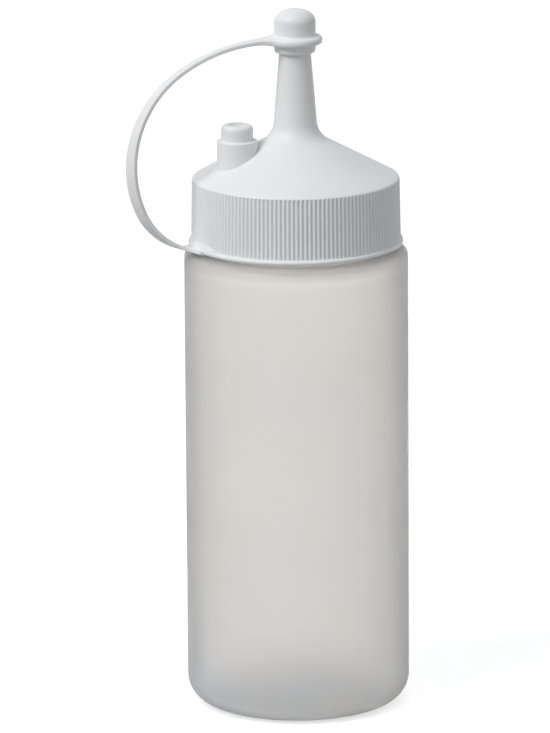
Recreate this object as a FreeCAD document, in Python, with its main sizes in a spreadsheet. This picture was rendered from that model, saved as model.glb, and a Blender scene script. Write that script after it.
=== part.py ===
import FreeCAD, Part

# Squeeze bottle for sauce or dressing: a soft, thin-walled bottle and a screw-on closure that is
# moulded in one piece, with a ribbed skirt, a conical top with a spout, a parking peg beside the
# spout, and a tip cap that hangs on its own strap and here sits on the spout.
#
# Millimetres. The origin is on the bottle's axis at the plane it stands on, +Z is up, and the
# strap and the peg lie towards -X.

import math
import os

import Sketcher
from FreeCAD import Rotation, Vector

doc = FreeCAD.newDocument("squeeze_bottle")

# --- driving dimensions ---------------------------------------------------------------------------

DIMENSIONS = {
    # the bottle
    "body_radius": 30.0,
    "wall": 1.1,
    "base_round": 6.8,
    "shoulder_level": 124.3,
    "shoulder_round": 2.4,
    "shoulder_rise": 1.3,         # from its outer corner in to the neck
    "neck_radius": 26.2,
    "neck_wall": 1.5,
    "neck_top": 142.4,
    # the closure's skirt, bead and cone
    "skirt_bottom": 126.3,
    "skirt_inner_radius": 26.4,
    "skirt_radius": 28.05,        # over the ribs, at the bead
    "rim_radius": 27.77,          # over the ribs, at the top edge
    "rim_level": 144.2,
    "rim_round": 1.4,
    "bead_radius": 28.7,
    "bead_height": 1.25,
    "bead_round": 0.55,
    "cone_slope": 0.537,
    "cone_wall": 1.6,             # measured straight up
    "seal_radius": 24.4,
    "rib_count": 150,
    "rib_depth": 0.4,
    "rib_gap": 0.75,              # width of a groove at the surface
    "rib_floor": 0.25,            # width of a groove at its bottom
    "rib_bottom": 127.8,
    "rib_top": 143.9,
    # the spout
    "spout_base_radius": 6.04,
    "spout_waist_radius": 4.24,
    "spout_waist_level": 178.1,
    "spout_tip_radius": 4.0,
    "spout_top": 186.2,
    "spout_root_round": 6.5,
    "spout_wall": 1.25,
    # the parking peg
    "peg_offset": 16.25,
    "peg_radius": 5.45,
    "peg_step": 155.4,
    "peg_pin_radius": 4.27,
    "peg_top": 159.55,
    "peg_round": 1.2,
    "peg_dimple_radius": 2.4,
    "peg_dimple_depth": 0.5,
    # the tip cap
    "cap_bottom": 178.15,
    "cap_radius": 5.55,
    "cap_bore": 4.4,
    "cap_bore_top": 187.0,
    "cap_flange_radius": 7.35,
    "cap_flange_level": 181.6,
    "cap_flange_thickness": 2.2,
    "cap_flange_round": 0.95,
    "cap_shoulder": 187.35,
    "cap_top": 189.9,
    "cap_shoulder_round": 1.8,
    "cap_lip_round": 0.85,
    "cap_root_round": 0.6,
    # the strap
    "strap_width": 4.1,
    "strap_thickness": 1.1,
    "strap_start": 26.0,          # where its first arc begins, inside the bead
    "strap_sink": 1.1,            # how far along that arc the strap itself begins
    "strap_root_level": 126.2,
    "strap_low_radius": 18.6,
    "strap_low_turn": 66.0,
    "strap_side_radius": 29.9,
    "strap_side_turn": 81.8,
    "strap_twist": 11.1,          # degrees, largest at mid length
    "strap_counter_twist": 12.5,  # degrees, one way in the lower half, the other way above it
    "strap_root_flare": 8.0,
    "strap_cap_flare": 5.2,
    "strap_cap_swell": 0.8,       # thicker at the flange by this much
    "strap_root_fade": 1.3,
    "strap_cap_fade": 1.5,
    # the web between the strap's root and the skirt
    "web_top": 129.4,
    "web_half_top": 5.2,
    "web_half_bottom": 14.0,
    "web_reach": 28.85,
    "web_sink": 0.5,              # how far it is let into the skirt's wall
}


def make_sheet():
    """The spreadsheet that every size is bound to, one row for each driving dimension."""
    sheet = doc.addObject("Spreadsheet::Sheet", "Dims")
    for row, (alias, value) in enumerate(DIMENSIONS.items(), start=1):
        sheet.set("A%d" % row, alias)
        sheet.set("B%d" % row, str(value))
        sheet.setAlias("B%d" % row, alias)
    doc.recompute()
    return sheet


SHEET = make_sheet()


def dim(text):
    """An expression for a feature, with each alias in it written as a cell of the sheet."""
    words = text.split()
    return " ".join("Dims." + word if word in DIMENSIONS else word for word in words)


def size(text):
    """The same expression's present value."""
    return float(SHEET.evalExpression(dim(text)))


def bind(feature, **sizes):
    """Set the feature's properties and tie each to its expression."""
    for name, text in sizes.items():
        feature.setExpression(name, dim(text))


# --- helpers for PartDesign bodies ----------------------------------------------------------------

def origin_feature(body, role):
    """One of the body's own planes or axes."""
    for item in body.Origin.OriginFeatures:
        if item.Role == role:
            return item
    raise ValueError("no %s in %s" % (role, body.Name))


def new_sketch(body, name, plane="XZ_Plane", offset=None):
    """A sketch on one of the body's planes, lifted along its normal by an expression."""
    sketch = body.newObject("Sketcher::SketchObject", name)
    sketch.AttachmentSupport = [(origin_feature(body, plane), "")]
    sketch.MapMode = "FlatFace"
    if offset is not None:
        sketch.setExpression("AttachmentOffset.Base.z", dim(offset))
    return sketch


def fix_point(sketch, line, end, x_text, y_text):
    """Hold one end of a line at (x, y) from the sketch's origin."""
    for kind, axis, text in (("DistanceX", -2, x_text), ("DistanceY", -1, y_text)):
        if size(text) == 0.0:
            sketch.addConstraint(Sketcher.Constraint("PointOnObject", line, end, axis))
            continue
        number = sketch.addConstraint(Sketcher.Constraint(kind, -1, 1, line, end, size(text)))
        sketch.setExpression("Constraints[%d]" % number, dim(text))


def outline(sketch, corners, arc=None):
    """A closed outline through (x, y) corners given as expressions.

    The stretch numbered arc is a circular arc whose centre is on the sketch's vertical axis; all
    others are straight.
    """
    points = [Vector(size(x), size(y), 0) for x, y in corners]
    last = len(points) - 1
    for i, start in enumerate(points):
        end = points[0 if i == last else i + 1]
        if i == arc:
            sketch.addGeometry(crown_arc(start, end), False)
        else:
            sketch.addGeometry(Part.LineSegment(start, end), False)
    for i in range(len(points)):
        follower = 0 if i == last else i + 1
        sketch.addConstraint(Sketcher.Constraint("Coincident", i, 2, follower, 1))
    for i, (x, y) in enumerate(corners):
        fix_point(sketch, i, 1, x, y)
    if arc is not None:
        sketch.addConstraint(Sketcher.Constraint("PointOnObject", arc, 3, -2))


def crown_arc(start, end):
    """The arc from a point off the axis to one on it, centred on the axis below."""
    rise = end.y - start.y
    radius = (start.x ** 2 + rise ** 2) / (2 * rise)
    centre = Vector(0, end.y - radius, 0)
    circle = Part.Circle(centre, Vector(0, 0, 1), radius)
    first = math.atan2(start.y - centre.y, start.x)
    return Part.ArcOfCircle(circle, first, math.pi / 2)


def turned(body, name, corners, arc=None, kind="PartDesign::Revolution"):
    """A full turn of an outline in the XZ plane about the body's Z axis."""
    sketch = new_sketch(body, name + "_outline")
    outline(sketch, corners, arc)
    feature = body.newObject(kind, name)
    feature.Profile = sketch
    feature.ReferenceAxis = (sketch, ["V_Axis"])
    feature.Angle = 360
    doc.recompute()
    return feature


def rim_edges(shape, rims, centre_x=0.0):
    """Names of the circular edges at the given (radius, level) pairs."""
    names = []
    for number, edge in enumerate(shape.Edges, start=1):
        if edge.Degenerated or not isinstance(edge.Curve, Part.Circle):
            continue
        curve = edge.Curve
        if abs(curve.Center.x - centre_x) > 1e-3:
            continue
        for radius, level in rims:
            if abs(curve.Radius - radius) < 1e-3 and abs(curve.Center.z - level) < 1e-3:
                names.append("Edge%d" % number)
    if len(names) < len(rims):
        raise ValueError("a rim is missing: found %d of %d" % (len(names), len(rims)))
    return names


def round_rims(body, name, radius, rims, centre_x=0.0):
    """Round the rims given as (radius, level) pairs of expressions."""
    base = body.Tip
    places = [(size(r), size(level)) for r, level in rims]
    feature = body.newObject("PartDesign::Fillet", name)
    feature.Base = (base, rim_edges(base.Shape, places, centre_x))
    bind(feature, Radius=radius)
    doc.recompute()
    return feature


# --- the bottle -----------------------------------------------------------------------------------

def make_bottle():
    """A blow-moulded bottle with an open neck, the same wall all round."""
    body = doc.addObject("PartDesign::Body", "bottle")
    inner = "body_radius - wall"
    ceiling = "shoulder_level - wall"
    neck_inner = "neck_radius - neck_wall"
    turned(body, "bottle_wall", [
        ("0", "0"),
        ("body_radius", "0"),
        ("body_radius", "shoulder_level"),
        ("neck_radius", "shoulder_level + shoulder_rise"),
        ("neck_radius", "neck_top"),
        (neck_inner, "neck_top"),
        (neck_inner, ceiling + " + shoulder_rise"),
        (inner, ceiling),
        (inner, "wall"),
        ("0", "wall"),
    ])
    round_rims(body, "base_outside", "base_round", [("body_radius", "0")])
    round_rims(body, "base_inside", "base_round - wall", [(inner, "wall")])
    round_rims(body, "shoulder_outside", "shoulder_round", [("body_radius", "shoulder_level")])
    round_rims(body, "shoulder_inside", "shoulder_round - wall / 2", [(inner, ceiling)])
    return body


# --- the closure ----------------------------------------------------------------------------------

CONE_RISE = "( rim_radius - spout_base_radius ) * cone_slope"
CONE_TOP = "rim_level + " + CONE_RISE


def cone_level(radius):
    """The height of the cone's outside at a radius, as an expression."""
    return "rim_level + ( rim_radius - " + radius + " ) * cone_slope"


def make_lid():
    """Skirt, bead, cone, spout and parking peg, hollow below."""
    body = doc.addObject("PartDesign::Body", "lid")
    bead_top = "skirt_bottom + bead_height"
    turned(body, "lid_outside", [
        ("0", "skirt_bottom"),
        ("bead_radius", "skirt_bottom"),
        ("bead_radius", bead_top),
        ("skirt_radius", bead_top),
        ("rim_radius", "rim_level"),
        ("spout_base_radius", CONE_TOP),
        ("spout_waist_radius", "spout_waist_level"),
        ("spout_tip_radius", "spout_top"),
        ("0", "spout_top"),
    ])
    round_rims(body, "bead_round_edges", "bead_round",
               [("bead_radius", "skirt_bottom"), ("bead_radius", bead_top)])
    round_rims(body, "rim_round_edge", "rim_round", [("rim_radius", "rim_level")])
    round_rims(body, "spout_root", "spout_root_round", [("spout_base_radius", CONE_TOP)])
    round_rims(body, "spout_lip", "spout_wall / 3", [("spout_tip_radius", "spout_top")])
    make_peg(body)
    make_cavity(body)
    make_ribs(body)
    return body


def disc(body, name, level, radius, kind, length):
    """A round pad or pocket on the peg's axis, from a level."""
    sketch = new_sketch(body, name + "_circle", "XY_Plane", level)
    centre = Vector(-size("peg_offset"), 0, 0)
    sketch.addGeometry(Part.Circle(centre, Vector(0, 0, 1), size(radius)), False)
    number = sketch.addConstraint(Sketcher.Constraint("Radius", 0, size(radius)))
    sketch.setExpression("Constraints[%d]" % number, dim(radius))
    number = sketch.addConstraint(Sketcher.Constraint("DistanceX", 0, 3, -1, 1, size("peg_offset")))
    sketch.setExpression("Constraints[%d]" % number, dim("peg_offset"))
    sketch.addConstraint(Sketcher.Constraint("PointOnObject", 0, 3, -1))
    feature = body.newObject(kind, name)
    feature.Profile = sketch
    bind(feature, Length=length)
    doc.recompute()
    return feature


def make_peg(body):
    """The stepped peg beside the spout that the open tip cap is parked on."""
    foot = cone_level("( peg_offset + peg_radius )") + " - cone_wall"
    disc(body, "peg_foot", foot, "peg_radius", "PartDesign::Pad", "peg_step - ( " + foot + " )")
    disc(body, "peg_pin", "peg_step", "peg_pin_radius", "PartDesign::Pad", "peg_top - peg_step")
    disc(body, "peg_dimple", "peg_top", "peg_dimple_radius", "PartDesign::Pocket",
         "peg_dimple_depth")
    axis_x = -size("peg_offset")
    round_rims(body, "peg_pin_edge", "peg_round", [("peg_pin_radius", "peg_top")], axis_x)
    round_rims(body, "peg_step_edge", "peg_round / 3", [("peg_radius", "peg_step")], axis_x)


def make_cavity(body):
    """The inside: the skirt's bore, the seat for the neck's rim, the cone and the spout's bore."""
    seal_top = cone_level("seal_radius") + " - cone_wall"
    throat_radius = "spout_base_radius - spout_wall"
    throat = CONE_TOP + " - cone_wall + spout_wall * cone_slope"
    turned(body, "lid_cavity", [
        ("0", "skirt_bottom"),
        ("skirt_inner_radius", "skirt_bottom"),
        ("skirt_inner_radius", "neck_top"),
        ("seal_radius", "neck_top"),
        ("seal_radius", seal_top),
        (throat_radius, throat),
        ("spout_tip_radius - spout_wall", "spout_top"),
        ("0", "spout_top"),
    ], kind="PartDesign::Groove")


def rib_section(body, name, level, radius):
    """The cross-section of one groove between two ribs, at a level."""
    sketch = new_sketch(body, name, "XY_Plane", level)
    floor = radius + " - rib_depth"
    beyond = radius + " + rib_depth"
    flare = "( rib_gap - rib_floor )"
    outline(sketch, [
        (floor, "0 - rib_floor / 2"),
        (beyond, "0 - rib_gap / 2 - " + flare + " / 2"),
        (beyond, "rib_gap / 2 + " + flare + " / 2"),
        (floor, "rib_floor / 2"),
    ])
    return sketch


def make_ribs(body):
    """Fine upright ribs all round the skirt, made by cutting the grooves between them."""
    taper = "( skirt_radius - rim_radius ) / ( rim_level - skirt_bottom - bead_height )"
    low_radius = "skirt_radius - ( rib_bottom - skirt_bottom - bead_height ) * " + taper
    high_radius = "skirt_radius - ( rib_top - skirt_bottom - bead_height ) * " + taper
    low = rib_section(body, "groove_low", "rib_bottom", low_radius)
    high = rib_section(body, "groove_high", "rib_top", high_radius)
    groove = body.newObject("PartDesign::SubtractiveLoft", "groove")
    groove.Profile = low
    groove.Sections = [high]
    groove.Ruled = True
    doc.recompute()
    pattern = body.newObject("PartDesign::PolarPattern", "ribs")
    pattern.Originals = [groove]
    pattern.Axis = (origin_feature(body, "Z_Axis"), [""])
    pattern.Angle = 360
    bind(pattern, Occurrences="rib_count")
    body.Tip = pattern
    doc.recompute()


def make_tip_cap():
    """The domed cap over the spout's tip, with its flange and the short ring below it."""
    body = doc.addObject("PartDesign::Body", "tip_cap")
    flange_low = "cap_flange_level - cap_flange_thickness / 2"
    flange_high = "cap_flange_level + cap_flange_thickness / 2"
    turned(body, "cap_turned", [
        ("cap_bore", "cap_bottom"),
        ("cap_radius", "cap_bottom"),
        ("cap_radius", flange_low),
        ("cap_flange_radius", flange_low),
        ("cap_flange_radius", flange_high),
        ("cap_radius", flange_high),
        ("cap_radius", "cap_shoulder"),
        ("0", "cap_top"),
        ("0", "cap_bore_top"),
        ("cap_bore", "cap_bore_top"),
    ], arc=6)
    round_rims(body, "flange_rim", "cap_flange_round",
               [("cap_flange_radius", flange_low), ("cap_flange_radius", flange_high)])
    round_rims(body, "cap_shoulder_edge", "cap_shoulder_round", [("cap_radius", "cap_shoulder")])
    round_rims(body, "cap_lip", "cap_lip_round", [("cap_radius", "cap_bottom")])
    round_rims(body, "flange_root", "cap_root_round", [("cap_radius", flange_high)])
    return body


def strap_arcs():
    """The strap's three arcs as (radius, start angle, end angle), root first, in radians.

    The angle is the way the strap runs: 0 away from the axis, 90 degrees up, 180 back to the axis.
    The top arc's radius is what carries the strap from the side arc's end to the flange's level.
    """
    low = size("strap_low_radius")
    side = size("strap_side_radius")
    first = math.radians(size("strap_low_turn"))
    second = first + math.radians(size("strap_side_turn"))
    rise = size("cap_flange_level - strap_root_level")
    below = low * (1 - math.cos(first)) + side * (math.cos(first) - math.cos(second))
    top = (rise - below) / (1 + math.cos(second))
    return [(low, 0.0, first), (side, first, second), (top, second, math.pi)]


def strap_point(distance):
    """Reach from the axis, height and heading of the strap's middle line at a distance along it."""
    reach, level = size("strap_start"), size("strap_root_level")
    for radius, start, end in strap_arcs():
        span = radius * (end - start)
        heading = start + min(distance, span) / radius
        reach += radius * (math.sin(heading) - math.sin(start))
        level += radius * (math.cos(start) - math.cos(heading))
        if distance <= span:
            return reach, level, heading
        distance -= span
    return reach - distance, level, math.pi


def strap_length():
    """The whole length of the strap's middle line."""
    return sum(radius * (end - start) for radius, start, end in strap_arcs())


def strap_section(distance, length):
    """The strap's cross-section, a rectangle square to its middle line and turned by its twist."""
    reach, level, heading = strap_point(distance)
    share = distance / length
    twist = size("strap_twist") * math.sin(math.pi * share)
    twist += size("strap_counter_twist") * math.sin(2 * math.pi * share)
    root_gap = distance - size("bead_radius - strap_start")
    to_axis = length + strap_point(length)[0] - distance
    wall_gap = max(to_axis - size("cap_radius"), 0.0)
    rim_gap = max(to_axis - size("cap_flange_radius"), 0.0)
    half = size("strap_width") / 2
    half += size("strap_root_flare") / 2 * math.exp(-max(root_gap, 0.0) / size("strap_root_fade"))
    half += size("strap_cap_flare") / 2 * math.exp(-wall_gap / size("strap_cap_fade"))
    thick = size("strap_thickness") / 2
    thick += size("strap_cap_swell") / 2 * math.exp(-rim_gap / size("strap_cap_fade"))
    along = Vector(-math.cos(heading), 0, math.sin(heading))
    wide = Rotation(along, twist).multVec(Vector(0, 1, 0))
    deep = along.cross(wide)
    middle = Vector(-reach, 0, level)
    corners = [middle + wide * half * a + deep * thick * b
               for a, b in ((1, 1), (-1, 1), (-1, -1), (1, -1))]
    return Part.makePolygon(corners + corners[:1])


def make_strap():
    """The flat, slightly twisted strap from the bead to the tip cap's flange."""
    length = strap_length()
    first = size("strap_sink")
    last = length + strap_point(length)[0] - size("( cap_radius + cap_bore ) / 2")
    count = 24
    shares = [(1 - math.cos(math.pi * i / count)) / 2 for i in range(count + 1)]
    stations = [first + (last - first) * share for share in shares]
    strap = doc.addObject("Part::Feature", "strap")
    strap.Shape = Part.makeLoft([strap_section(s, length) for s in stations], True, False)
    return strap


def make_web():
    """The low web that stiffens the strap's root: a sloping band on the skirt, cut to a wedge."""
    low = "skirt_bottom + bead_height / 2"
    band = doc.addObject("PartDesign::Body", "web_band")
    turned(band, "web_slope", [
        ("skirt_inner_radius + web_sink", low),
        ("web_reach", low),
        ("rim_radius", "web_top"),
        ("skirt_inner_radius + web_sink", "web_top"),
    ])
    far, near = size("web_half_bottom"), size("web_half_top")
    bottom, top = size(low), size("web_top")
    wedge = doc.addObject("Part::Feature", "web_wedge")
    wedge.Shape = Part.Face(Part.makePolygon([
        Vector(0, -far, bottom), Vector(0, far, bottom), Vector(0, near, top),
        Vector(0, -near, top), Vector(0, -far, bottom),
    ])).extrude(Vector(-size("body_radius"), 0, 0))
    web = doc.addObject("Part::MultiCommon", "web")
    web.Shapes = [band, wedge]
    doc.recompute()
    return web


def make_closure():
    """Lid, tip cap and strap in one moulding."""
    parts = [make_lid(), make_tip_cap(), make_strap(), make_web()]
    closure = doc.addObject("Part::MultiFuse", "closure")
    closure.Shapes = parts
    closure.Refine = False
    doc.recompute()
    return closure


# --- checks and files -----------------------------------------------------------------------------

def check_document():
    """Stop if any object failed."""
    for item in doc.Objects:
        if "Invalid" in item.State or "Error" in item.State:
            raise RuntimeError("%s failed: %s" % (item.Name, item.State))


def write_part(item):
    """Write one sub-part's solid under its own name."""
    shape = item.Shape
    if shape.isNull() or not shape.isValid() or len(shape.Solids) != 1:
        raise RuntimeError("%s is not one valid solid" % item.Label)
    box = shape.BoundBox
    print("%-10s %9.1f mm3  X %.2f..%.2f  Y %.2f..%.2f  Z %.2f..%.2f  faces %d" % (
        item.Label, shape.Volume, box.XMin, box.XMax, box.YMin, box.YMax, box.ZMin, box.ZMax,
        len(shape.Faces)))
    shape.exportStep("parts/%s.step" % item.Label)


bottle = make_bottle()
closure = make_closure()
doc.recompute()
check_document()
os.makedirs("parts", exist_ok=True)
for part in (bottle, closure):
    write_part(part)
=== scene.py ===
import math

import bmesh
import bpy
from mathutils import Matrix, Vector


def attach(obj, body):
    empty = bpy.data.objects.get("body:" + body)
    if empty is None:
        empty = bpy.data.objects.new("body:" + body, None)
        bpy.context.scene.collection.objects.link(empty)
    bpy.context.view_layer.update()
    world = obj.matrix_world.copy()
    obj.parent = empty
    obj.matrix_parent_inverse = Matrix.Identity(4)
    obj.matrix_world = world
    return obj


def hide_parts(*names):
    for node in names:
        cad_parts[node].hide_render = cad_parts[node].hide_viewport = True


# A squeeze bottle: a milky, see-through bottle and a white ribbed closure whose tip cap hangs on a
# strap. Lengths are in millimetres as on the drawing, and MM turns them into Blender's metres. The
# origin is on the bottle's axis where it stands, +Z is up, and the strap lies towards -X.

MM = 0.001

# --- the bottle -----------------------------------------------------------------------------------

BODY_RADIUS = 30.0
WALL = 1.1
BASE_ROUND = 6.8
SHOULDER_LEVEL = 124.3
SHOULDER_ROUND = 2.4
SHOULDER_RISE = 1.3
NECK_RADIUS = 26.2
NECK_WALL = 1.5
NECK_TOP = 142.4

# --- the closure's lid ----------------------------------------------------------------------------

SKIRT_BOTTOM = 126.3
SKIRT_INNER_RADIUS = 26.4
SKIRT_RADIUS = 28.05
RIM_RADIUS = 27.77
RIM_LEVEL = 144.2
RIM_ROUND = 1.2
BEAD_RADIUS = 28.7
BEAD_HEIGHT = 1.25
BEAD_ROUND = 0.55
CONE_SLOPE = 0.537
CONE_WALL = 1.6
SEAL_RADIUS = 24.4
RIB_COUNT = 150
RIB_DEPTH = 0.42
RIB_BOTTOM = 127.8
RIB_TOP = 143.9
RIB_STEPS = 8                 # facets round one rib and its groove
GROOVE_SHARPNESS = 1.8        # 1 gives even waves; more makes the grooves narrower than the ribs
SPOUT_BASE_RADIUS = 6.04
SPOUT_WAIST_RADIUS = 4.24
SPOUT_WAIST_LEVEL = 178.1
SPOUT_TIP_RADIUS = 4.0
SPOUT_TOP = 186.2
SPOUT_ROOT_ROUND = 6.5
SPOUT_LIP_ROUND = 0.4
SPOUT_WALL = 1.25

# --- the parking peg ------------------------------------------------------------------------------

PEG_OFFSET = 16.25
PEG_RADIUS = 5.45
PEG_STEP = 155.4
PEG_PIN_RADIUS = 4.27
PEG_TOP = 159.55
PEG_ROUND = 1.2
PEG_STEP_ROUND = 0.4
PEG_PIN_ROOT_ROUND = 0.15
PEG_DIMPLE_RADIUS = 2.4
PEG_DIMPLE_FLOOR_RADIUS = 1.8
PEG_DIMPLE_DEPTH = 0.5
PEG_DIMPLE_LIP_ROUND = 0.3
PEG_DIMPLE_FLOOR_ROUND = 0.4

# --- the tip cap ----------------------------------------------------------------------------------

CAP_BOTTOM = 178.15
CAP_RADIUS = 5.55
CAP_BORE = 4.4
CAP_BORE_TOP = 187.0
CAP_FLANGE_RADIUS = 7.35
CAP_FLANGE_LEVEL = 181.6
CAP_FLANGE_THICKNESS = 2.2
CAP_FLANGE_ROUND = 0.99
CAP_SHOULDER = 187.35
CAP_SOFTENING = 0.9           # how far below its shoulder the dome begins to curve in
CAP_LIP_ROUND = 0.85
CAP_ROOT_ROUND = 0.6
CAP_UNDERCUT_ROUND = 0.1
CAP_TOP = 189.9

# --- the strap ------------------------------------------------------------------------------------

STRAP_WIDTH = 4.1
STRAP_THICKNESS = 1.1
STRAP_START = 26.0
STRAP_SINK = 1.1
STRAP_ROOT_LEVEL = 126.2
STRAP_LOW_RADIUS = 18.6
STRAP_LOW_TURN = 66.0
STRAP_SIDE_RADIUS = 29.9
STRAP_SIDE_TURN = 81.8
STRAP_TWIST = 11.1
STRAP_COUNTER_TWIST = 12.5
STRAP_ROOT_FLARE = 8.0
STRAP_ROOT_FADE = 1.3
STRAP_CAP_FLARE = 5.2
STRAP_CAP_SWELL = 0.8
STRAP_CAP_FADE = 1.5
STRAP_EDGE_ROUND = 0.22

# --- the web between the strap's root and the skirt -------------------------------------------------

WEB_TOP = 129.4
WEB_REACH = 28.85
WEB_HALF_TOP = 5.2
WEB_HALF_BOTTOM = 14.0


# --- outlines ---------------------------------------------------------------------------------------

def rounded(corners, steps=8):
    """The outline through (radius, level, rounding) corners, with an arc of steps at each rounding."""
    points = []
    for i, (x, y, rounding) in enumerate(corners):
        corner = Vector((x, y))
        if rounding == 0.0 or i in (0, len(corners) - 1):
            points.append(corner)
            continue
        back = (Vector(corners[i - 1][:2]) - corner).normalized()
        ahead = (Vector(corners[i + 1][:2]) - corner).normalized()
        half = back.angle(ahead) / 2
        centre = corner + (back + ahead).normalized() * rounding / math.sin(half)
        start = corner + back * rounding / math.tan(half) - centre
        sweep = start.angle_signed(corner + ahead * rounding / math.tan(half) - centre)
        points += [centre + Matrix.Rotation(-sweep * k / steps, 2) @ start for k in range(steps + 1)]
    return points


def cone_level(radius):
    """The height of the cone's outside at a radius."""
    return RIM_LEVEL + (RIM_RADIUS - radius) * CONE_SLOPE


# --- meshes -----------------------------------------------------------------------------------------

def new_object(name, mesh_data):
    """An object from a finished bmesh, with smooth faces and crisp edges where faces meet sharply."""
    bmesh.ops.recalc_face_normals(mesh_data, faces=mesh_data.faces)
    for face in mesh_data.faces:
        face.smooth = True
    for edge in mesh_data.edges:
        edge.smooth = len(edge.link_faces) == 2 and edge.calc_face_angle(0.0) < math.radians(32)
    mesh = bpy.data.meshes.new(name)
    mesh_data.to_mesh(mesh)
    mesh_data.free()
    obj = bpy.data.objects.new(name, mesh)
    bpy.context.scene.collection.objects.link(obj)
    return obj


def bridge(mesh_data, lower, upper):
    """Faces between two rings of vertices; a ring of one vertex is a pole."""
    count = max(len(lower), len(upper))
    if count == 1:
        return
    for i in range(count):
        k = (i + 1) % count
        corners = [lower[i % len(lower)], lower[k % len(lower)],
                   upper[k % len(upper)], upper[i % len(upper)]]
        unique = [v for n, v in enumerate(corners) if v not in corners[:n]]
        mesh_data.faces.new(unique)


def lathe(name, outline, segments, centre_x=0.0, reshape=None, loop=False):
    """A turned solid. reshape(radius, level, angle) may move a point in or out."""
    mesh_data = bmesh.new()
    rings = []
    for radius, level in outline:
        ring = []
        for i in range(segments if radius > 0 else 1):
            angle = 2 * math.pi * i / segments
            reach = reshape(radius, level, angle) if reshape else radius
            point = (centre_x + reach * math.cos(angle), reach * math.sin(angle), level)
            ring.append(mesh_data.verts.new(Vector(point) * MM))
        rings.append(ring)
    for lower, upper in zip(rings, rings[1:]):
        bridge(mesh_data, lower, upper)
    if loop:
        bridge(mesh_data, rings[-1], rings[0])
    return new_object(name, mesh_data)


def sweep(name, sections):
    """A closed solid through sections of equally many points."""
    mesh_data = bmesh.new()
    rings = [[mesh_data.verts.new(point * MM) for point in section] for section in sections]
    for near, far in zip(rings, rings[1:]):
        bridge(mesh_data, near, far)
    mesh_data.faces.new(rings[0])
    mesh_data.faces.new(rings[-1])
    return new_object(name, mesh_data)


def unite(name, base, *others):
    """One solid of all the given ones."""
    for other in others:
        modifier = base.modifiers.new("with_" + other.name, "BOOLEAN")
        modifier.operation = "UNION"
        modifier.solver = "MANIFOLD"
        modifier.object = other
    depsgraph = bpy.context.evaluated_depsgraph_get()
    joined = bmesh.new()
    joined.from_mesh(bpy.data.meshes.new_from_object(base.evaluated_get(depsgraph)))
    for obj in (base, *others):
        bpy.data.objects.remove(obj)
    bmesh.ops.remove_doubles(joined, verts=joined.verts, dist=1e-7)
    return new_object(name, joined)


# --- the bottle -------------------------------------------------------------------------------------

def make_bottle():
    """The thin-walled bottle with its open neck."""
    inner = BODY_RADIUS - WALL
    ceiling = SHOULDER_LEVEL - WALL
    neck_inner = NECK_RADIUS - NECK_WALL
    outline = rounded([
        (0, 0, 0),
        (BODY_RADIUS, 0, BASE_ROUND),
        (BODY_RADIUS, SHOULDER_LEVEL, SHOULDER_ROUND),
        (NECK_RADIUS, SHOULDER_LEVEL + SHOULDER_RISE, 0),
        (NECK_RADIUS, NECK_TOP, 0),
        (neck_inner, NECK_TOP, 0),
        (neck_inner, ceiling + SHOULDER_RISE, 0),
        (inner, ceiling, SHOULDER_ROUND - WALL / 2),
        (inner, WALL, BASE_ROUND - WALL),
        (0, WALL, 0),
    ], steps=12)
    return lathe("bottle_shell", outline, segments=256)


# --- the closure ------------------------------------------------------------------------------------

def web_radius(level, angle):
    """How far out the web reaches at a level and angle, or 0 where there is none."""
    if not SKIRT_BOTTOM + BEAD_HEIGHT / 2 < level < WEB_TOP:
        return 0.0
    share = (level - SKIRT_BOTTOM - BEAD_HEIGHT / 2) / (WEB_TOP - SKIRT_BOTTOM - BEAD_HEIGHT / 2)
    half = WEB_HALF_BOTTOM + (WEB_HALF_TOP - WEB_HALF_BOTTOM) * share
    away = abs(math.sin(angle)) * SKIRT_RADIUS
    if math.cos(angle) > 0 or away > half:
        return 0.0
    return WEB_REACH + (RIM_RADIUS - WEB_REACH) * share


def skirt_wall(level):
    """The radius over the ribs, which lean in a little towards the rim."""
    bead_top = SKIRT_BOTTOM + BEAD_HEIGHT
    return SKIRT_RADIUS + (RIM_RADIUS - SKIRT_RADIUS) * (level - bead_top) / (RIM_LEVEL - bead_top)


def skirt_reach(radius, level, angle):
    """The skirt's outside with its grooves and its web."""
    outside = radius > SKIRT_INNER_RADIUS + 0.1
    if outside and RIB_BOTTOM <= level <= RIB_TOP:
        radius = min(radius, skirt_wall(level) - RIB_DEPTH * groove(angle))
    if outside:
        radius = max(radius, web_radius(level, angle))
    return radius


def groove(angle):
    """0 on a rib's crest, 1 at the bottom of a groove."""
    wave = 0.5 + 0.5 * math.cos(RIB_COUNT * angle)
    return wave ** GROOVE_SHARPNESS


def rib_levels():
    """Levels of the rows of faces up the ribbed wall, close together beside the web."""
    rows = [RIB_BOTTOM - 0.02, RIB_BOTTOM]
    rows += [RIB_BOTTOM + (WEB_TOP - RIB_BOTTOM) * k / 8 for k in range(1, 9)]
    return rows + [(WEB_TOP + RIM_LEVEL) / 2]


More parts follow.
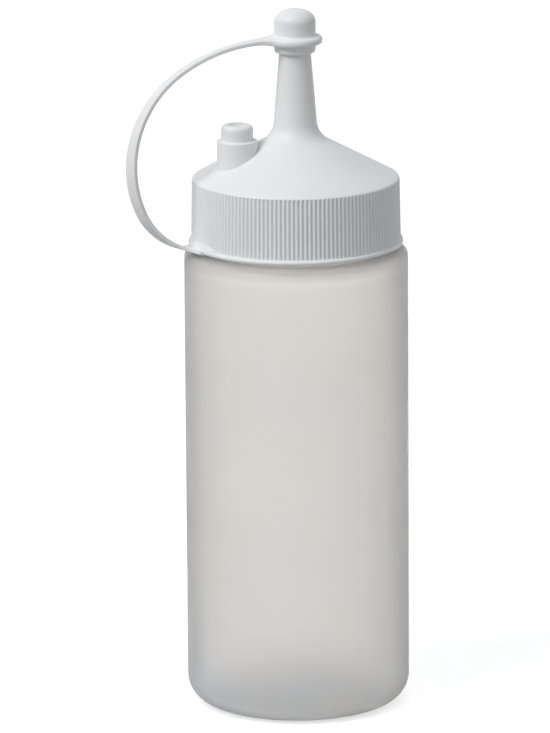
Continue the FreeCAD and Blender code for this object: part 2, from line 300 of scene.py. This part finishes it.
def make_lid():
    """Skirt, bead, cone and spout, hollow below."""
    bead_top = SKIRT_BOTTOM + BEAD_HEIGHT
    ribbed = [(skirt_wall(level), level, 0) for level in rib_levels()]
    outside = rounded([
        (SKIRT_INNER_RADIUS, SKIRT_BOTTOM, 0),
        (BEAD_RADIUS, SKIRT_BOTTOM, BEAD_ROUND),
        (BEAD_RADIUS, bead_top, BEAD_ROUND),
        (SKIRT_RADIUS, bead_top, 0),
        *ribbed,
        (RIM_RADIUS, RIM_LEVEL, RIM_ROUND),
        (SPOUT_BASE_RADIUS, cone_level(SPOUT_BASE_RADIUS), SPOUT_ROOT_ROUND),
        (SPOUT_WAIST_RADIUS, SPOUT_WAIST_LEVEL, 0),
        (SPOUT_TIP_RADIUS, SPOUT_TOP, SPOUT_LIP_ROUND),
        (SPOUT_TIP_RADIUS - SPOUT_WALL, SPOUT_TOP, 0),
    ])
    throat = SPOUT_BASE_RADIUS - SPOUT_WALL
    inside = [
        Vector((throat, cone_level(throat) - CONE_WALL)),
        Vector((SEAL_RADIUS, cone_level(SEAL_RADIUS) - CONE_WALL)),
        Vector((SEAL_RADIUS, NECK_TOP)),
        Vector((SKIRT_INNER_RADIUS, NECK_TOP)),
    ]
    return lathe("lid", outside + inside, RIB_COUNT * RIB_STEPS, reshape=skirt_reach, loop=True)


def make_peg():
    """The stepped peg that the open tip cap is parked on."""
    foot = cone_level(PEG_OFFSET + PEG_RADIUS) - CONE_WALL / 2
    dimple = PEG_TOP - PEG_DIMPLE_DEPTH
    outline = rounded([
        (0, foot, 0),
        (PEG_RADIUS, foot, 0),
        (PEG_RADIUS, PEG_STEP, PEG_STEP_ROUND),
        (PEG_PIN_RADIUS, PEG_STEP, PEG_PIN_ROOT_ROUND),
        (PEG_PIN_RADIUS, PEG_TOP, PEG_ROUND),
        (PEG_DIMPLE_RADIUS, PEG_TOP, PEG_DIMPLE_LIP_ROUND),
        (PEG_DIMPLE_FLOOR_RADIUS, dimple, PEG_DIMPLE_FLOOR_ROUND),
        (0, dimple, 0),
    ])
    return lathe("peg", outline, 96, centre_x=-PEG_OFFSET)


def make_tip_cap():
    """The domed cap over the spout's tip, with its flange and the short ring below it."""
    low = CAP_FLANGE_LEVEL - CAP_FLANGE_THICKNESS / 2
    high = CAP_FLANGE_LEVEL + CAP_FLANGE_THICKNESS / 2
    outline = rounded([
        (CAP_BORE, CAP_BOTTOM, 0),
        (CAP_RADIUS, CAP_BOTTOM, CAP_LIP_ROUND),
        (CAP_RADIUS, low, CAP_UNDERCUT_ROUND),
        (CAP_FLANGE_RADIUS, low, CAP_FLANGE_ROUND),
        (CAP_FLANGE_RADIUS, high, CAP_FLANGE_ROUND),
        (CAP_RADIUS, high, CAP_ROOT_ROUND),
        (CAP_RADIUS, CAP_SHOULDER - CAP_SOFTENING, 0),
    ])
    outline += dome(CAP_RADIUS, CAP_SHOULDER - CAP_SOFTENING, CAP_TOP)
    outline += [Vector((0, CAP_BORE_TOP)), Vector((CAP_BORE, CAP_BORE_TOP))]
    return lathe("tip_cap", outline, 128, loop=True)


def dome(radius, low, high, steps=20):
    """The cap's rounded top, a quarter of an ellipse with a little more shoulder."""
    points = []
    for k in range(1, steps):
        turn = math.pi / 2 * k / steps
        points.append(Vector((radius * math.cos(turn) ** 0.8, low + (high - low) * math.sin(turn))))
    return points + [Vector((0, high))]


# --- the strap --------------------------------------------------------------------------------------

def strap_arcs():
    """The strap's arcs as (radius, start angle, end angle), root first.

    The angle is the way the strap runs: 0 away from the axis, 90 degrees up, 180 back to the axis.
    """
    first = math.radians(STRAP_LOW_TURN)
    second = first + math.radians(STRAP_SIDE_TURN)
    below = STRAP_LOW_RADIUS * (1 - math.cos(first))
    below += STRAP_SIDE_RADIUS * (math.cos(first) - math.cos(second))
    top = (CAP_FLANGE_LEVEL - STRAP_ROOT_LEVEL - below) / (1 + math.cos(second))
    return [(STRAP_LOW_RADIUS, 0.0, first), (STRAP_SIDE_RADIUS, first, second),
            (top, second, math.pi)]


def strap_point(distance):
    """Reach from the axis, height and heading of the middle line at a distance along it."""
    reach, level = STRAP_START, STRAP_ROOT_LEVEL
    for radius, start, end in strap_arcs():
        span = radius * (end - start)
        heading = start + min(distance, span) / radius
        reach += radius * (math.sin(heading) - math.sin(start))
        level += radius * (math.cos(start) - math.cos(heading))
        if distance <= span:
            return reach, level, heading
        distance -= span
    return reach - distance, level, math.pi


def strap_section(distance, length, corner_steps=4):
    """The strap's cross-section: a rectangle with rounded edges, turned by the strap's twist.

    It flares towards the bead, and it flares and swells towards the tip cap's flange.
    """
    reach, level, heading = strap_point(distance)
    share = min(distance / length, 1.0)
    twist = STRAP_TWIST * math.sin(math.pi * share)
    twist += STRAP_COUNTER_TWIST * math.sin(2 * math.pi * share)
    root_gap = max(distance - (BEAD_RADIUS - STRAP_START), 0.0)
    to_axis = length + strap_point(length)[0] - distance
    wall_gap = max(to_axis - CAP_RADIUS, 0.0)
    rim_gap = max(to_axis - CAP_FLANGE_RADIUS, 0.0)
    half = STRAP_WIDTH / 2
    half += STRAP_ROOT_FLARE / 2 * math.exp(-root_gap / STRAP_ROOT_FADE)
    half += STRAP_CAP_FLARE / 2 * math.exp(-wall_gap / STRAP_CAP_FADE)
    swell = STRAP_CAP_SWELL / 2 * math.exp(-rim_gap / STRAP_CAP_FADE)
    thick = STRAP_THICKNESS / 2 + swell
    edge_round = STRAP_EDGE_ROUND + swell
    along = Vector((-math.cos(heading), 0, math.sin(heading)))
    wide = Matrix.Rotation(math.radians(twist), 3, along) @ Vector((0, 1, 0))
    deep = along.cross(wide)
    middle = Vector((-reach, 0, level))
    points = []
    for quarter, (a, b) in enumerate(((1, 1), (-1, 1), (-1, -1), (1, -1))):
        for k in range(corner_steps + 1):
            turn = math.pi / 2 * (quarter + k / corner_steps)
            across = a * (half - edge_round) + edge_round * math.cos(turn)
            through = b * (thick - edge_round) + edge_round * math.sin(turn)
            points.append(middle + wide * across + deep * through)
    return points


def make_strap(steps=160):
    """The flat, slightly twisted strap from the bead to the tip cap's flange."""
    length = sum(radius * (end - start) for radius, start, end in strap_arcs())
    first = STRAP_SINK
    last = length + strap_point(length)[0] - (CAP_RADIUS + CAP_BORE) / 2
    shares = [(1 - math.cos(math.pi * k / steps)) / 2 for k in range(steps + 1)]
    return sweep("strap", [strap_section(first + (last - first) * s, length) for s in shares])


def make_closure():
    """Lid, peg, tip cap and strap in one moulding."""
    return unite("closure_moulding", make_lid(), make_peg(), make_tip_cap(), make_strap())


# --- materials --------------------------------------------------------------------------------------

def new_material(name):
    """A node material with its Principled shader."""
    material = bpy.data.materials.new(name)
    material.use_nodes = True
    return material, material.node_tree, material.node_tree.nodes["Principled BSDF"]


def cloudy_colour(tree, low, high, scale):
    """A colour that drifts between two in slow, soft noise."""
    coords = tree.nodes.new("ShaderNodeTexCoord")
    noise = tree.nodes.new("ShaderNodeTexNoise")
    noise.inputs["Scale"].default_value = scale
    noise.inputs["Detail"].default_value = 3.0
    ramp = tree.nodes.new("ShaderNodeValToRGB")
    ramp.color_ramp.elements[0].position = 0.35
    ramp.color_ramp.elements[0].color = (*low, 1)
    ramp.color_ramp.elements[1].position = 0.65
    ramp.color_ramp.elements[1].color = (*high, 1)
    tree.links.new(coords.outputs["Object"], noise.inputs["Vector"])
    tree.links.new(noise.outputs["Fac"], ramp.inputs["Fac"])
    return ramp.outputs["Color"]


def tinted(tree, colour, share, tint):
    """A colour multiplied by a tint, as far as share (0 to 1) says."""
    mix = tree.nodes.new("ShaderNodeMix")
    mix.data_type = "RGBA"
    mix.blend_type = "MULTIPLY"
    factor, plain, tinge = mix.inputs[0], mix.inputs[6], mix.inputs[7]
    tree.links.new(share, factor)
    tree.links.new(colour, plain)
    tinge.default_value = (*tint, 1)
    return mix.outputs[2]


def between_levels(tree, start, end):
    """0 at the level start, rising smoothly to 1 at the level end, both in millimetres."""
    coords = tree.nodes.new("ShaderNodeTexCoord")
    split = tree.nodes.new("ShaderNodeSeparateXYZ")
    step = tree.nodes.new("ShaderNodeMapRange")
    step.interpolation_type = "SMOOTHSTEP"
    step.inputs["From Min"].default_value = start * MM
    step.inputs["From Max"].default_value = end * MM
    tree.links.new(coords.outputs["Object"], split.inputs["Vector"])
    tree.links.new(split.outputs["Z"], step.inputs["Value"])
    return step.outputs["Result"]


def edge_on(tree, start, end):
    """0 where the surface faces the viewer, 1 where it is seen edge-on."""
    weight = tree.nodes.new("ShaderNodeLayerWeight")
    weight.inputs["Blend"].default_value = 0.5
    step = tree.nodes.new("ShaderNodeMapRange")
    step.interpolation_type = "SMOOTHSTEP"
    step.inputs["From Min"].default_value = start
    step.inputs["From Max"].default_value = end
    tree.links.new(weight.outputs["Facing"], step.inputs["Value"])
    return step.outputs["Result"]


def fine_grain(tree, shader, scale, strength):
    """A moulded plastic's faint grain, as a bump."""
    coords = tree.nodes.new("ShaderNodeTexCoord")
    noise = tree.nodes.new("ShaderNodeTexNoise")
    noise.inputs["Scale"].default_value = scale
    bump = tree.nodes.new("ShaderNodeBump")
    bump.inputs["Strength"].default_value = strength
    bump.inputs["Distance"].default_value = 0.05 * MM
    tree.links.new(coords.outputs["Object"], noise.inputs["Vector"])
    tree.links.new(noise.outputs["Fac"], bump.inputs["Height"])
    tree.links.new(bump.outputs["Normal"], shader.inputs["Normal"])


def closure_plastic():
    """Opaque white polyethylene, satin."""
    material, tree, shader = new_material("closure_plastic")
    colour = cloudy_colour(tree, (0.80, 0.815, 0.82), (0.82, 0.83, 0.83), 60.0)
    tree.links.new(colour, shader.inputs["Base Color"])
    fine_grain(tree, shader, 2500.0, 0.15)
    shader.inputs["Roughness"].default_value = 0.42
    shader.inputs["Specular IOR Level"].default_value = 0.3
    shader.inputs["Subsurface Weight"].default_value = 0.25
    shader.inputs["Subsurface Radius"].default_value = (1.0, 1.0, 1.0)
    shader.inputs["Subsurface Scale"].default_value = 0.6 * MM
    return material


# The levels between which each tint of the bottle comes in, and the tint, all painted light and shade
# in the colour:
# a painted cool cast over the base, painted light round the foot, a painted glow up to the shoulder, a
# painted highlight along its ridge and painted shade above it.
PAINTED_LIGHT_BY_LEVEL = (
    (22.0, 8.0, (0.985, 1.0, 1.03)),
    (7.0, 1.0, (1.06, 1.06, 1.05)),
    (SHOULDER_LEVEL - 35.0, SHOULDER_LEVEL - 6.0, (1.03, 1.03, 1.03)),
    (SHOULDER_LEVEL - 4.8, SHOULDER_LEVEL - 3.0, (1.07, 1.07, 1.07)),
    (SHOULDER_LEVEL - 2.7, SHOULDER_LEVEL - 1.9, (0.92, 0.92, 0.93)),
)
BODY_CLEARNESS = 0.87         # transmission through the thin body
NECK_CLEARNESS = 0.7          # and through the thicker neck


def bottle_plastic():
    """Milky polyethylene that lets a blurred view of the far wall and the base through.

    Its colour holds painted shade where the view runs along the wall and painted light and shade in
    bands up it, and it is less clear in the neck, which is thicker.
    """
    material, tree, shader = new_material("bottle_plastic")
    colour = cloudy_colour(tree, (0.865, 0.86, 0.85), (0.905, 0.878, 0.842), 30.0)
    # painted shade: the colour darkens towards the edges where the wall is seen edge-on
    colour = tinted(tree, colour, edge_on(tree, 0.42, 0.78), (0.64, 0.66, 0.68))
    # painted light and shade in the colour, band by band up the wall
    for start, end, tint in PAINTED_LIGHT_BY_LEVEL:
        colour = tinted(tree, colour, between_levels(tree, start, end), tint)
    tree.links.new(colour, shader.inputs["Base Color"])
    fine_grain(tree, shader, 1500.0, 0.2)
    shader.inputs["Roughness"].default_value = 0.45
    shader.inputs["IOR"].default_value = 1.38
    neck = between_levels(tree, SHOULDER_LEVEL - 2.0, SHOULDER_LEVEL + 0.5)
    clearness = tree.nodes.new("ShaderNodeMapRange")
    clearness.inputs["To Min"].default_value = BODY_CLEARNESS
    clearness.inputs["To Max"].default_value = NECK_CLEARNESS
    tree.links.new(neck, clearness.inputs["Value"])
    tree.links.new(clearness.outputs["Result"], shader.inputs["Transmission Weight"])
    shader.inputs["Subsurface Weight"].default_value = 0.5
    shader.inputs["Subsurface Radius"].default_value = (1.0, 1.0, 1.0)
    shader.inputs["Subsurface Scale"].default_value = 3.0 * MM
    return material


# --- stage ------------------------------------------------------------------------------------------

CAMERA_AZIMUTH = -17.22       # degrees round from straight on, towards the strap
CAMERA_ELEVATION = 13.93
CAMERA_ROLL = -0.38
CAMERA_DISTANCE = 1957.0
CAMERA_AIM = (-5.59, 1.75, 92.05)
LENS = 357.6
FLOOR_GLOW = 0.83             # with the light on its paper, this makes the floor white
PAINTED_FOOT_SHADOW_GLOW = 0.55              # the share of that glow under the object's foot, a painted shadow there


def look_from(azimuth, elevation):
    a, e = math.radians(azimuth), math.radians(elevation)
    return Vector((math.sin(a) * math.cos(e), -math.cos(a) * math.cos(e), math.sin(e)))


def make_camera():
    """A long lens from a little above."""
    data = bpy.data.cameras.new("camera")
    data.lens = LENS
    camera = bpy.data.objects.new("camera", data)
    bpy.context.scene.collection.objects.link(camera)
    back = look_from(CAMERA_AZIMUTH, CAMERA_ELEVATION)
    turn = back.to_track_quat("Z", "Y").to_matrix() @ Matrix.Rotation(math.radians(CAMERA_ROLL), 3, "Z")
    camera.matrix_world = Matrix.Translation(
        (Vector(CAMERA_AIM) + back * CAMERA_DISTANCE) * MM) @ turn.to_4x4()
    data.clip_start, data.clip_end = 0.05, 20.0
    bpy.context.scene.camera = camera


def soft_lamp(name, azimuth, elevation, distance, width, height, watts):
    """A rectangular lamp facing the middle of the object."""
    data = bpy.data.lights.new(name, "AREA")
    data.shape = "RECTANGLE"
    data.size, data.size_y = width * MM, height * MM
    data.energy = watts
    lamp = bpy.data.objects.new(name, data)
    bpy.context.scene.collection.objects.link(lamp)
    back = look_from(azimuth, elevation)
    spot = (Vector((0, 0, CAP_TOP / 2)) + back * distance) * MM
    lamp.matrix_world = Matrix.Translation(spot) @ back.to_track_quat("Z", "Y").to_matrix().to_4x4()


def seen_directly(tree):
    """1 for rays from the camera and for what mirrors or lets through what the camera sees."""
    path = tree.nodes.new("ShaderNodeLightPath")
    seen = path.outputs["Is Camera Ray"]
    for name in ("Is Glossy Ray", "Is Transmission Ray"):
        either = tree.nodes.new("ShaderNodeMath")
        either.operation = "MAXIMUM"
        tree.links.new(seen, either.inputs[0])
        tree.links.new(path.outputs[name], either.inputs[1])
        seen = either.outputs[0]
    return seen


def make_world():
    """Grey light from all round; the camera sees white."""
    world = bpy.data.worlds.new("world")
    bpy.context.scene.world = world
    world.use_nodes = True
    tree = world.node_tree
    shown = tree.nodes["Background"]
    lit = tree.nodes.new("ShaderNodeBackground")
    shown.inputs["Color"].default_value = (1, 1, 1, 1)
    lit.inputs["Color"].default_value = (0.37, 0.378, 0.387, 1)
    mix = tree.nodes.new("ShaderNodeMixShader")
    tree.links.new(seen_directly(tree), mix.inputs["Fac"])
    tree.links.new(lit.outputs["Background"], mix.inputs[1])
    tree.links.new(shown.outputs["Background"], mix.inputs[2])
    tree.links.new(mix.outputs["Shader"], tree.nodes["World Output"].inputs["Surface"])


def glow_with_painted_foot_shadow(tree):
    """The glow's share on the floor: less under the object's foot, where it paints a shadow, rising to
    1 just outside it.
    """
    geometry = tree.nodes.new("ShaderNodeNewGeometry")
    reach = tree.nodes.new("ShaderNodeVectorMath")
    reach.operation = "LENGTH"
    step = tree.nodes.new("ShaderNodeMapRange")
    step.inputs["From Min"].default_value = (BODY_RADIUS - BASE_ROUND) * MM
    step.inputs["From Max"].default_value = BODY_RADIUS * MM
    step.inputs["To Min"].default_value = PAINTED_FOOT_SHADOW_GLOW
    tree.links.new(geometry.outputs["Position"], reach.inputs[0])
    tree.links.new(reach.outputs["Value"], step.inputs["Value"])
    return step.outputs["Result"]


def make_floor():
    """A pale round floor whose own glow, for the camera only, brings it up to the white around it."""
    mesh_data = bmesh.new()
    bmesh.ops.create_circle(mesh_data, cap_ends=True, segments=96, radius=6.0)
    floor = new_object("floor", mesh_data)
    material, tree, shader = new_material("floor_paper")
    colour = cloudy_colour(tree, (0.34, 0.34, 0.34), (0.36, 0.36, 0.36), 4.0)
    tree.links.new(colour, shader.inputs["Base Color"])
    shader.inputs["Roughness"].default_value = 0.9
    shader.inputs["Specular IOR Level"].default_value = 0.1
    seen = tree.nodes.new("ShaderNodeMath")
    seen.operation = "MULTIPLY"
    tree.links.new(seen_directly(tree), seen.inputs[0])
    # painted shadow: the glow is lowered under the object's foot
    tree.links.new(glow_with_painted_foot_shadow(tree), seen.inputs[1])
    glow = tree.nodes.new("ShaderNodeEmission")
    glow.inputs["Color"].default_value = (FLOOR_GLOW, FLOOR_GLOW, FLOOR_GLOW, 1)
    tree.links.new(seen.outputs["Value"], glow.inputs["Strength"])
    both = tree.nodes.new("ShaderNodeAddShader")
    tree.links.new(shader.outputs["BSDF"], both.inputs[0])
    tree.links.new(glow.outputs["Emission"], both.inputs[1])
    tree.links.new(both.outputs["Shader"], tree.nodes["Material Output"].inputs["Surface"])
    floor.data.materials.append(material)


def make_lamps():
    """A large soft key from the upper left and a weak low fill from the right."""
    soft_lamp("key", -70, 48, 3000, 1400, 1400, 59)
    soft_lamp("low_fill", 60, 10, 3000, 1500, 2500, 7)


# --- the whole --------------------------------------------------------------------------------------

def place(piece, material, node):
    """Give a piece its material and its place in the frame, in its CAD node's stead."""
    piece.data.materials.clear()
    piece.data.materials.append(material)
    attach(piece, "root")
    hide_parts(node)


def corners(box):
    """A bounding box as plain lists of numbers."""
    return [list(corner) for corner in box]


bpy.context.scene.view_settings.view_transform = "Standard"
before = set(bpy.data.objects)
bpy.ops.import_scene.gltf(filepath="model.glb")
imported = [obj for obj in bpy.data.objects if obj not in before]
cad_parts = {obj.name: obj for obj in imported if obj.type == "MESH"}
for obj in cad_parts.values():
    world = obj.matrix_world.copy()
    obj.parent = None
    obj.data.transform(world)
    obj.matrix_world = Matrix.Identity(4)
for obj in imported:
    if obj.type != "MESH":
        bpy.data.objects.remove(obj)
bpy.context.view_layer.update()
place(make_bottle(), bottle_plastic(), "bottle")
place(make_closure(), closure_plastic(), "closure")
make_floor()
make_world()
make_lamps()
make_camera()
